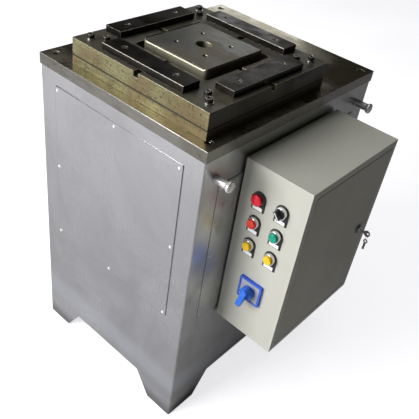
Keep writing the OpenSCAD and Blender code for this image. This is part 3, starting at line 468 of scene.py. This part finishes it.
# The plates' tops are dark with old oil and painted shade, and their right sides are darkened with
# painted shade.
die_steel = machined("die plate steel", (0.285, 0.262, 0.130), (0.125, 0.115, 0.052),
                     roughness=0.34, lines=(16.0, 16.0, 800.0), relief=0.25,
                     edge_wear_and_highlight=(0.85, 0.80, 0.66), edge_brightening=1.0,
                     stain=(0.13, 0.09, 0.040), stain_scale=11.0, stain_amount=0.7,
                     top=(0.080, 0.077, 0.060), right=(0.040, 0.038, 0.032),
                     seams=(die_seam,), metal=0.5, rust=0.9)
bar_steel = machined("blade bar steel", (0.036, 0.035, 0.031), (0.018, 0.017, 0.015),
                     roughness=0.30, lines=(30.0, 30.0, 600.0), relief=0.25,
                     edge_wear_and_highlight=(0.62, 0.59, 0.51), edge_brightening=0.95,
                     stain=(0.04, 0.03, 0.02), stain_scale=16.0)
for plate in ("die_lower_plate", "die_upper_plate"):
    soften(plate, die_steel, 1.2 * MM)
for bar in ("front_bar", "rear_bar", "left_bar", "right_bar"):
    soften(bar, bar_steel, 1.0 * MM)
soften("die_screws", screw_steel, 0.5 * MM)
soften("bar_screws", screw_steel, 0.4 * MM)
soften("die_washers", plated, 0.3 * MM)

# ---------------------------------------------------------------- Ram and cylinder
# The ram block is ground steel, and rides on four chromed guide rods in bronze bushes. Its
# rod, piston and cylinder hang under the bed, out of sight.
# The block's front is lightened by old oil and painted light, and its right side is darkened with
# painted shade.
ram_steel = machined("ram steel", (0.165, 0.165, 0.147), (0.115, 0.115, 0.102),
                     roughness=0.32, lines=(12.0, 500.0, 500.0), relief=0.2,
                     edge_wear_and_highlight=(0.62, 0.58, 0.42), edge_brightening=0.9,
                     stain=(0.16, 0.13, 0.08), stain_scale=12.0, stain_amount=0.5,
                     right=(0.09, 0.08, 0.06), front=(0.46, 0.44, 0.33), metal=0.8)
soften("ram_block", ram_steel, 1.8 * MM, segments=3)
hard_chrome = machined("hard chrome", (0.78, 0.78, 0.78), (0.68, 0.68, 0.69), roughness=0.08,
                       lines=(60.0, 60.0, 900.0), relief=0.05, stain_amount=0.1)
dress(["piston_rod", "guide_rods"], hard_chrome)
dress(["piston"], turned_steel)
dress(["rod_screws", "head_screws"], black_oxide)
bronze = machined("bush bronze", (0.62, 0.42, 0.17), (0.45, 0.29, 0.11), roughness=0.25,
                  lines=(40.0, 40.0, 900.0), relief=0.15, edge_wear_and_highlight=(0.85, 0.65, 0.35))
dress(["guide_bushes"], bronze)

# ---------------------------------------------------------------- Power pack
# A welded oil tank on the floor plate. The motor, bell housing, gear pump and valve block
# stand on its lid, and zinc plated pipes run up to the cylinder.
enamel = painted("machine enamel", (0.045, 0.11, 0.17), bare_steel,
                 roughness=0.32, peel=260.0, dirt_and_shade=0.5, scuffs=0.7)
motor_enamel = painted("motor enamel", (0.14, 0.17, 0.19), bare_steel,
                       roughness=0.38, peel=260.0, dirt_and_shade=0.5, scuffs=0.6)
dress(["cylinder_barrel", "cylinder_head", "oil_tank", "tank_lid"], enamel)
dress(["motor"], motor_enamel)
dress(["motor_shaft"], turned_steel)
cast_grey = machined("cast iron", (0.11, 0.115, 0.12), (0.06, 0.062, 0.065), roughness=0.5,
                     lines=(350.0, 350.0, 350.0), relief=0.7, edge_wear_and_highlight=(0.4, 0.4, 0.4))
dress(["gear_pump"], cast_grey)
milled_aluminium = machined("milled aluminium", (0.58, 0.59, 0.60), (0.45, 0.46, 0.47),
                            roughness=0.30, lines=(20.0, 900.0, 900.0), relief=0.2,
                            edge_wear_and_highlight=(0.8, 0.8, 0.8))
dress(["valve_block"], milled_aluminium)
zinc = machined("zinc plate", (0.60, 0.59, 0.52), (0.45, 0.43, 0.36), roughness=0.28,
                lines=(200.0, 200.0, 200.0), relief=0.1, stain_amount=0.3)
dress(["hydraulic_pipes", "box_spacers", "hinge_pins"], zinc)

# ---------------------------------------------------------------- Control box and door
# A folded sheet-steel box in grey-beige powder coat, held off the cabinet by four spacers.
# The door is folded too, and sits in the rim on two hidden hinge pins.
primer = (0.30, 0.29, 0.26)
box_paint = painted("box paint", (0.485, 0.486, 0.425), primer,
                    roughness=0.42, peel=650.0, dirt_and_shade=0.35, scuffs=0.25)
# The door has the same powder coat as the box; its darker, warmer colour is painted shade for the
# side that faces away from the light.
shaded_door_paint = painted("shaded door paint", (0.44, 0.435, 0.365), primer,
                     roughness=0.45, peel=650.0, dirt_and_shade=0.4, scuffs=0.25)
soften("control_box", box_paint, 0.7 * MM)
soften("box_door", shaded_door_paint, 0.6 * MM)


def plastic(name, colour, roughness, speckle=500.0, relief=0.15):
    """Moulded plastic: a fine moulded skin, slightly uneven gloss and paler rubbed edges.

    Speckle is how many dimples there are per metre, and relief how deep they look.
    """
    made, tree, shader = new_material(name, Metallic=0.0)
    fine = mask(tree, grain, Stretch=(speckle, speckle, speckle))
    handled = mask(tree, clouds, Scale=60.0, Low=0.35, High=0.7)
    pale = tuple(min(1.0, 1.25 * c + 0.01) for c in colour)
    base = tint(tree, colour, pale, handled, 0.35)
    edge = mask(tree, edges, Radius=0.0008, Low=0.03, High=0.3)
    edge = combine(tree, "MULTIPLY", edge, 0.35)
    tree.links.new(blend_colours(tree, edge, base, pale), shader.inputs["Base Color"])
    rough = levels(tree, handled, 0.0, 1.0, roughness, roughness + 0.12)
    tree.links.new(rough, shader.inputs["Roughness"])
    bump(tree, shader, fine, relief, 0.0002)
    return made


nylon = plastic("black nylon", (0.02, 0.02, 0.02), roughness=0.45, speckle=700.0, relief=0.3)
dress(["cable_glands"], nylon)

# ---------------------------------------------------------------- Inside the control box
# A zinc plated gear plate carries three contactors and a terminal strip.
passivated = machined("passivated zinc", (0.62, 0.52, 0.28), (0.50, 0.42, 0.22),
                      roughness=0.32, lines=(200.0, 200.0, 200.0), relief=0.1,
                      stain=(0.45, 0.40, 0.32), stain_scale=20.0)
switchgear_black = plastic("switchgear black", (0.03, 0.03, 0.032), roughness=0.4)
terminal_grey = plastic("terminal grey", (0.42, 0.43, 0.36), roughness=0.45)
dress(["gear_plate"], passivated)
dress(["contactors", "contact_blocks"], switchgear_black)
dress(["terminal_strip"], terminal_grey)

# ---------------------------------------------------------------- Lock and keys
# A dark cam lock with a plated plug, near the free edge of the door. The key is left in it,
# and its spare hangs from it on a wire ring.
lock_dark = machined("lock housing", (0.09, 0.09, 0.085), (0.05, 0.05, 0.047), roughness=0.28,
                     lines=(400.0, 400.0, 400.0), relief=0.1, edge_wear_and_highlight=(0.80, 0.80, 0.78), edge_brightening=1.0,
                     stain_amount=0.3)
soften("lock_housing", lock_dark, 0.6 * MM)
dress(["lock_plug"], plated)
key_steel = machined("key steel", (0.42, 0.41, 0.39), (0.28, 0.27, 0.25), roughness=0.30,
                     lines=(300.0, 300.0, 300.0), relief=0.15, edge_brightening=0.6)
soften("lock_key", key_steel, 0.25 * MM)

key_low, key_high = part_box("lock_key")
bow_radius = (key_high.z - key_low.z) / 2
lock_y = (key_low.y + key_high.y) / 2
lock_z = (key_low.z + key_high.z) / 2
hole_out = 3 * MM
hole_x = key_high.x - bow_radius + hole_out
ring_radius = 8 * MM
ring_hang = 2.4 * MM
ring_gap_at = 30
ring_gap_half = 4
wire = 0.6 * MM
ring_centre = Vector((hole_x, lock_y, lock_z - ring_hang - ring_radius))


def settle(piece, name, body, made, smooth=40.0):
    """Puts a new piece's place in its mesh, and gives it its name, material and body."""
    bpy.ops.object.transform_apply(location=True, rotation=True, scale=True)
    bpy.ops.object.shade_smooth_by_angle(angle=math.radians(smooth))
    piece.name = name
    piece.data.name = name
    piece.data.materials.clear()
    piece.data.materials.append(made)
    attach(piece, body)
    return piece


def choose(piece, test):
    """Selects the faces of the piece in edit mode whose middle passes the test."""
    bpy.ops.mesh.select_mode(type="FACE")
    bpy.ops.mesh.select_all(action="DESELECT")
    bpy.ops.object.mode_set(mode="OBJECT")
    for face in piece.data.polygons:
        face.select = bool(test(face.center, face.normal))
    bpy.ops.object.mode_set(mode="EDIT")


# The split ring is a wire torus with a short gap, closed at both ends.
bpy.ops.object.select_all(action="DESELECT")
bpy.ops.mesh.primitive_torus_add(
    location=ring_centre, rotation=(0, math.radians(90), 0), major_radius=ring_radius,
    minor_radius=wire, major_segments=48, minor_segments=10,
)
ring = bpy.context.object
bpy.ops.object.mode_set(mode="EDIT")
choose(
    ring,
    lambda middle, normal:
        abs(math.degrees(math.atan2(middle.y, middle.x)) - ring_gap_at) < ring_gap_half,
)
bpy.ops.mesh.delete(type="FACE")
bpy.ops.mesh.select_mode(type="EDGE")
bpy.ops.mesh.select_all(action="SELECT")
bpy.ops.mesh.fill_holes(sides=12)
bpy.ops.object.mode_set(mode="OBJECT")
settle(ring, "key_ring", "door", plated)

# A dark flat rose lies on the door round the lock, with its edges rounded.
door_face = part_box("box_door")[1].x
rose_radius = 13.5 * MM
rose_width = 4.0 * MM
rose_t = 1.6 * MM
rose_rounding = 0.5 * MM
bpy.ops.object.select_all(action="DESELECT")
bpy.ops.mesh.primitive_circle_add(
    vertices=56, radius=rose_radius, fill_type="NGON", rotation=(0, math.radians(90), 0),
    location=(door_face, lock_y, lock_z),
)
rose = bpy.context.object
bpy.ops.object.mode_set(mode="EDIT")
bpy.ops.mesh.select_all(action="SELECT")
bpy.ops.mesh.inset(thickness=rose_width)
bpy.ops.mesh.delete(type="FACE")
bpy.ops.mesh.select_all(action="SELECT")
bpy.ops.mesh.extrude_region_move(TRANSFORM_OT_translate={"value": (rose_t, 0, 0)})
bpy.ops.mesh.select_all(action="SELECT")
bpy.ops.mesh.normals_make_consistent(inside=False)
bpy.ops.object.mode_set(mode="OBJECT")
rounding = rose.modifiers.new("rounding", "BEVEL")
rounding.width = rose_rounding
rounding.segments = 3
rounding.limit_method = "ANGLE"
rounding.angle_limit = math.radians(50)
bpy.ops.object.modifier_apply(modifier="rounding")
settle(rose, "lock_rose", "door", lock_dark)

# The spare key is a blank: a round bow with a hole, and a plain flat blade.
spare_bow = 6 * MM
spare_bow_wall = 3.2 * MM
spare_t = 1.4 * MM
spare_hang = 4.5 * MM
blade_size = (6 * MM, spare_t, 21 * MM)
blade_drop = 9.5 * MM
spare_centre = Vector((hole_x, lock_y, ring_centre.z - ring_radius - spare_hang))
bpy.ops.object.select_all(action="DESELECT")
bpy.ops.mesh.primitive_circle_add(
    vertices=40, radius=spare_bow, fill_type="NGON", rotation=(math.radians(90), 0, 0),
    location=spare_centre + Vector((0, spare_t / 2, 0)),
)
spare = bpy.context.object
bpy.ops.object.mode_set(mode="EDIT")
bpy.ops.mesh.select_all(action="SELECT")
bpy.ops.mesh.inset(thickness=spare_bow_wall)
bpy.ops.mesh.delete(type="FACE")
bpy.ops.mesh.select_all(action="SELECT")
bpy.ops.mesh.extrude_region_move(TRANSFORM_OT_translate={"value": (0, -spare_t, 0)})
bpy.ops.mesh.primitive_cube_add(
    size=1.0, location=spare_centre + Vector((0, 0, -spare_bow - blade_drop)),
    scale=blade_size,
)
bpy.ops.mesh.bevel(offset=0.25 * MM, segments=1, affect="EDGES")
bpy.ops.mesh.select_all(action="SELECT")
bpy.ops.mesh.normals_make_consistent(inside=False)
bpy.ops.object.mode_set(mode="OBJECT")
settle(spare, "spare_key", "door", key_steel)

# ---------------------------------------------------------------- Legend plates and labels
# Black moulded holders behind each button, round at the top and square below, with a blank
# white label pressed into the lower part. The stop button's holder has a raised collar.
legend_black = plastic("legend black", (0.012, 0.012, 0.013),
                       roughness=0.40, speckle=600.0, relief=0.25)
soften("legend_plates", legend_black, 0.5 * MM)
label_white = plastic("label white", (0.86, 0.86, 0.88),
                      roughness=0.40, speckle=900.0, relief=0.1)
label_size = Vector((25 * MM, 0.8 * MM, 9 * MM))
label_drop = 25.5 * MM
label_sunk = 0.1 * MM
label_rim = 0.7 * MM
label_dish = 0.25 * MM
legend_t = 2.5 * MM
legend_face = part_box("legend_plates")[1].y - legend_t
buttons = {
    "stop": "stop_button",
    "selector": "selector_knob",
    "red": "red_button",
    "green": "green_button",
    "left_yellow": "left_yellow_button",
    "right_yellow": "right_yellow_button",
}


def middle_of(node_name):
    """The middle of a CAD node's box."""
    low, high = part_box(node_name)
    return (low + high) / 2


first_label = None
for body, button in buttons.items():
    centre = middle_of(button)
    label_y = legend_face - label_size.y / 2 + label_sunk
    place = Vector((centre.x, label_y, centre.z - label_drop))
    if first_label is None:
        bpy.ops.object.select_all(action="DESELECT")
        bpy.ops.mesh.primitive_cube_add(size=1.0, location=(0, 0, 0), scale=label_size)
        label = bpy.context.object
        bpy.ops.object.transform_apply(location=False, rotation=False, scale=True)
        bpy.ops.object.mode_set(mode="EDIT")
        choose(label, lambda middle, normal: normal.y < -0.9)
        bpy.ops.mesh.inset(thickness=label_rim)
        bpy.ops.transform.translate(value=(0, label_dish, 0))
        bpy.ops.mesh.select_all(action="SELECT")
        bpy.ops.mesh.bevel(offset=0.15 * MM, segments=2, affect="EDGES")
        bpy.ops.object.mode_set(mode="OBJECT")
        first_label = label.data.copy()
    else:
        label = bpy.data.objects.new("label", first_label.copy())
        bpy.context.collection.objects.link(label)
        bpy.ops.object.select_all(action="DESELECT")
        label.select_set(True)
        bpy.context.view_layer.objects.active = label
    label.location = place
    settle(label, "label_" + body, "machine", label_white)

# ---------------------------------------------------------------- Bezels and buttons
# Chromed bezels screw on the threaded barrels behind the wall. The caps are gloss plastic
# with a shallow dish, the stop button is a low mushroom, and the selector has a bar grip.
bezel_chrome = machined("bezel chrome", (0.80, 0.80, 0.78), (0.66, 0.66, 0.64),
                        roughness=0.12, lines=(300.0, 300.0, 300.0), relief=0.05,
                        edge_wear_and_highlight=(0.9, 0.9, 0.9), edge_brightening=0.3, stain_amount=0.15)
soften("button_bezels", bezel_chrome, 1.2 * MM, segments=3)
cap_gloss = {"roughness": 0.18, "speckle": 400.0, "relief": 0.05}
cap_red = plastic("cap red", (0.68, 0.045, 0.030), **cap_gloss)
cap_green = plastic("cap green", (0.0, 0.26, 0.17), **cap_gloss)
cap_yellow = plastic("cap yellow", (0.72, 0.47, 0.010), **cap_gloss)
stop_red = plastic("stop red", (0.68, 0.010, 0.028), roughness=0.22, speckle=400.0, relief=0.05)
knob_black = plastic("knob black", (0.012, 0.012, 0.012), roughness=0.30)
caps = {
    "red_button": cap_red,
    "green_button": cap_green,
    "left_yellow_button": cap_yellow,
    "right_yellow_button": cap_yellow,
}
for button, cap in caps.items():
    soften(button, cap, 0.8 * MM, segments=3)
soften("stop_button", stop_red, 0.7 * MM, segments=3, sharp=25.0)
soften("selector_knob", knob_black, 1.0 * MM, segments=3)

# The selector's pointer is a white inlay along the front of its grip.
knob_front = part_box("selector_knob")[0].y
knob_middle = middle_of("selector_knob")
pointer_size = (1.8 * MM, 0.5 * MM, 18 * MM)
pointer_stand = 0.05 * MM
pointer_turn = math.radians(40)
bpy.ops.object.select_all(action="DESELECT")
bpy.ops.mesh.primitive_cube_add(
    size=1.0, location=(knob_middle.x, knob_front - pointer_stand, knob_middle.z),
    rotation=(0, -pointer_turn, 0), scale=pointer_size,
)
pointer = bpy.context.object
bpy.ops.object.transform_apply(location=False, rotation=False, scale=True)
bpy.ops.object.mode_set(mode="EDIT")
bpy.ops.mesh.select_all(action="SELECT")
bpy.ops.mesh.bevel(offset=0.15 * MM, segments=2, affect="EDGES")
bpy.ops.object.mode_set(mode="OBJECT")
settle(pointer, "selector_pointer", "selector", label_white)

# ---------------------------------------------------------------- Cam switch
# A blue moulded rotary switch with a square front plate, a plain grey face set into it and
# a long lever handle.
switch_blue = plastic("switch blue", (0.025, 0.10, 0.58), roughness=0.25, relief=0.1)
handle_blue = plastic("handle blue", (0.012, 0.13, 0.62), roughness=0.22, relief=0.1)
face_grey = plastic("face grey", (0.36, 0.37, 0.42), roughness=0.35, speckle=700.0, relief=0.1)
soften("cam_switch", switch_blue, 0.8 * MM)
soften("cam_handle", handle_blue, 1.2 * MM, segments=3)

# The face lies on the floor of the plate's recess, round the handle's shaft.
plate_low, plate_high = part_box("cam_switch")
plate_middle = middle_of("cam_switch")
recess_depth = 2 * MM
recess_rim = 5.7 * MM
face_t = 0.7 * MM
shaft_hole_radius = 7 * MM
cutter_depth = 4 * MM
face_width = plate_high.x - plate_low.x - 2 * recess_rim
face_place = Vector((plate_middle.x, plate_low.y + recess_depth - face_t / 2, plate_middle.z))
bpy.ops.object.select_all(action="DESELECT")
bpy.ops.mesh.primitive_cube_add(
    size=1.0, location=face_place, scale=(face_width, face_t, face_width)
)
face_plate = bpy.context.object
bpy.ops.object.transform_apply(location=False, rotation=False, scale=True)
bpy.ops.object.mode_set(mode="EDIT")
bpy.ops.mesh.select_all(action="SELECT")
bpy.ops.mesh.bevel(offset=0.2 * MM, segments=2, affect="EDGES")
bpy.ops.object.mode_set(mode="OBJECT")
bpy.ops.object.select_all(action="DESELECT")
bpy.ops.mesh.primitive_cylinder_add(
    vertices=40, radius=shaft_hole_radius, depth=cutter_depth, location=face_place,
    rotation=(math.radians(90), 0, 0),
)
cutter = bpy.context.object
bpy.ops.object.select_all(action="DESELECT")
face_plate.select_set(True)
bpy.context.view_layer.objects.active = face_plate
hole = face_plate.modifiers.new("shaft hole", "BOOLEAN")
hole.object = cutter
hole.operation = "DIFFERENCE"
bpy.ops.object.modifier_apply(modifier="shaft hole")
bpy.data.objects.remove(cutter)
settle(face_plate, "cam_face", "machine", face_grey)

# ---------------------------------------------------------------- Floor and light
# A pale studio floor that runs out of sight, a large soft light in front of the machine and
# to its left, weaker ones above and behind, and a room that is bright only in front. Floor and
# room are paler to the camera than the light they throw on the machine.
floor_size = 30.0
floor_lift = 1.2
bpy.ops.object.select_all(action="DESELECT")
bpy.ops.mesh.primitive_plane_add(size=floor_size, location=(0, 0, 0))
floor = bpy.context.object
floor.name = "studio_floor"
floor_white, tree, shader = new_material("floor white", Roughness=0.9)
tone = blend_colours(
    tree, mask(tree, clouds, Scale=0.7, Low=0.3, High=0.8), (0.64, 0.635, 0.65), (0.60, 0.595, 0.61)
)
tree.links.new(tone, shader.inputs["Base Color"])
tree.links.new(tone, shader.inputs["Emission Color"])
camera_ray = add(tree, "LightPath").outputs["Is Camera Ray"]
seen_lift = combine(tree, "MULTIPLY", camera_ray, floor_lift)
tree.links.new(seen_lift, shader.inputs["Emission Strength"])
floor.data.materials.append(floor_white)

world = bpy.data.worlds.new("studio room")
bpy.context.scene.world = world
world.use_nodes = True
tree = world.node_tree
tree.nodes.clear()
front_left = add(
    tree, "VectorMath",
    {0: add(tree, "TexCoord").outputs["Generated"], 1: (-0.66, -0.74, -0.05)},
    operation="DOT_PRODUCT",
)
room = blend_colours(
    tree, levels(tree, front_left.outputs["Value"], 0.1, 0.9),
    (0.032, 0.030, 0.024), (0.80, 0.81, 0.86),
)
lit = add(tree, "Background", {"Color": room, "Strength": 0.9})
seen = add(tree, "Background", {"Color": (0.95, 0.945, 0.96, 1.0), "Strength": 1.0})
either = add(
    tree, "MixShader",
    {0: add(tree, "LightPath").outputs["Is Camera Ray"], 1: lit.outputs[0], 2: seen.outputs[0]},
)
tree.links.new(either.outputs[0], add(tree, "OutputWorld").inputs["Surface"])


def softbox(name, place, aim, size, watts):
    """A square area light that faces its aim."""
    bpy.ops.object.select_all(action="DESELECT")
    bpy.ops.object.light_add(type="AREA", location=place)
    light = bpy.context.object
    light.name = name
    light.data.size = size
    light.data.energy = watts
    light.rotation_euler = (Vector(aim) - Vector(place)).to_track_quat("-Z", "Y").to_euler()


softbox("key_light", (-1.1, -3.1, 1.9), (0.1, 0.0, 0.5), 2.0, 164.0)
softbox("top_light", (-1.0, 0.2, 3.4), (0.1, 0.0, 0.8), 2.2, 26.0)
softbox("back_window", (-1.50, 2.25, 1.85), (0.1, 0.1, 0.95), 0.7, 2.4)
bpy.context.scene.view_settings.view_transform = "Standard"
